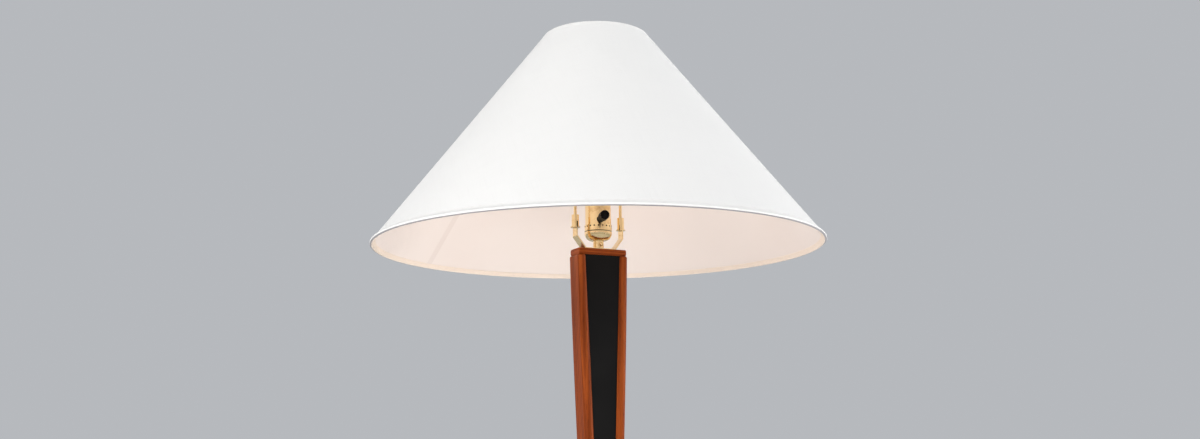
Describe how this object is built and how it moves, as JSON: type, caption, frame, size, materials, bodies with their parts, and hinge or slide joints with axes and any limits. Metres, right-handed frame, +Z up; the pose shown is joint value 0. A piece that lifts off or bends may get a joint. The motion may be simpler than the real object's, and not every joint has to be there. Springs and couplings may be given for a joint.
{
  "type": "floor lamp",
  "caption": "Floor lamp with a waisted wooden column, black inset panels, a brass socket with a turn knob, a harp and a wide conical fabric shade on a square plinth.",
  "frame": {"origin": "on the floor, under the middle of the column", "axes": "+Z up; the front panel of the column faces -Y and its two boards stand at -X and +X"},
  "size_m": [0.5587, 0.5588, 1.5565],
  "materials": {
    "wood": "oiled walnut, warm reddish brown, satin",
    "black_panel": "satin black lacquer",
    "brass": "polished lacquered brass, pale gold",
    "knob_black": "moulded black plastic",
    "phenolic": "dark brown moulded phenolic",
    "fibre": "pressed paper insulator",
    "contact_brass": "bright unlacquered brass",
    "steel": "zinc-plated steel",
    "white_steel": "white enamelled wire",
    "cast_iron": "black cast iron",
    "felt": "dark green felt",
    "bushing": "black nylon",
    "bulb_glass": "frosted white glass",
    "bulb_base": "bright aluminium screw base",
    "shade_cover": "white linen weave",
    "shade_liner": "warm white translucent liner",
    "shade_roll": "white fabric rolled over the wire"
  },
  "bodies": {
    "stand": {"plinth": "wood", "base_weight": "cast_iron", "weight_screws": "steel", "column_screws": "steel", "felt_pad": "felt", "inlet_bushing": "bushing", "left_board": "wood", "right_board": "wood", "front_panel": "black_panel", "back_panel": "black_panel", "top_block": "wood", "bottom_block": "wood", "board_dowels": "wood", "top_cap": "wood", "nipple": "steel", "nipple_nut": "steel", "nipple_washer": "steel", "harp_saddle": "brass", "socket_cap": "brass", "socket_set_screw": "brass", "socket_shell": "brass", "socket_insulator": "fibre", "socket_body": "phenolic", "socket_screw_shell": "contact_brass", "socket_centre_contact": "contact_brass", "terminal_screws": "contact_brass", "harp_bow": "brass", "harp_stud": "brass", "bulb_glass": "bulb_glass", "bulb_base": "bulb_base", "bulb_contact": "contact_brass"},
    "knob": {"switch_knob": "knob_black", "switch_spindle": "contact_brass"},
    "shade": {"shade_cover": "shade_cover", "shade_liner": "shade_liner", "shade_bottom_roll": "shade_roll", "shade_top_roll": "shade_roll", "shade_bottom_ring": "white_steel", "shade_top_ring": "white_steel", "spider_hub": "white_steel", "spider_arm_1": "white_steel", "spider_arm_2": "white_steel", "spider_arm_3": "white_steel"},
    "finial": {"finial": "brass"},
    "ferrule_left": {"left_ferrule": "brass"},
    "ferrule_right": {"right_ferrule": "brass"}
  },
  "joints": [
    {"name": "knob_turn", "type": "hinge", "parent": "stand", "child": "knob", "pos_m": [0, 0, 1.3082], "axis": [-0.2588, -0.9659, 0], "continuous": true},
    {"name": "shade_swivel", "type": "hinge", "parent": "stand", "child": "shade", "pos_m": [0, 0, 1.5277], "axis": [0, 0, 1], "continuous": true},
    {"name": "finial_turn", "type": "hinge", "parent": "stand", "child": "finial", "pos_m": [0, 0, 1.5277], "axis": [0, 0, 1], "continuous": true},
    {"name": "ferrule_left_slide", "type": "slide", "parent": "stand", "child": "ferrule_left", "axis": [0, 0, 1], "range_m": [0, 0.009]},
    {"name": "ferrule_right_slide", "type": "slide", "parent": "stand", "child": "ferrule_right", "axis": [0, 0, 1], "range_m": [0, 0.009]}
  ]
}
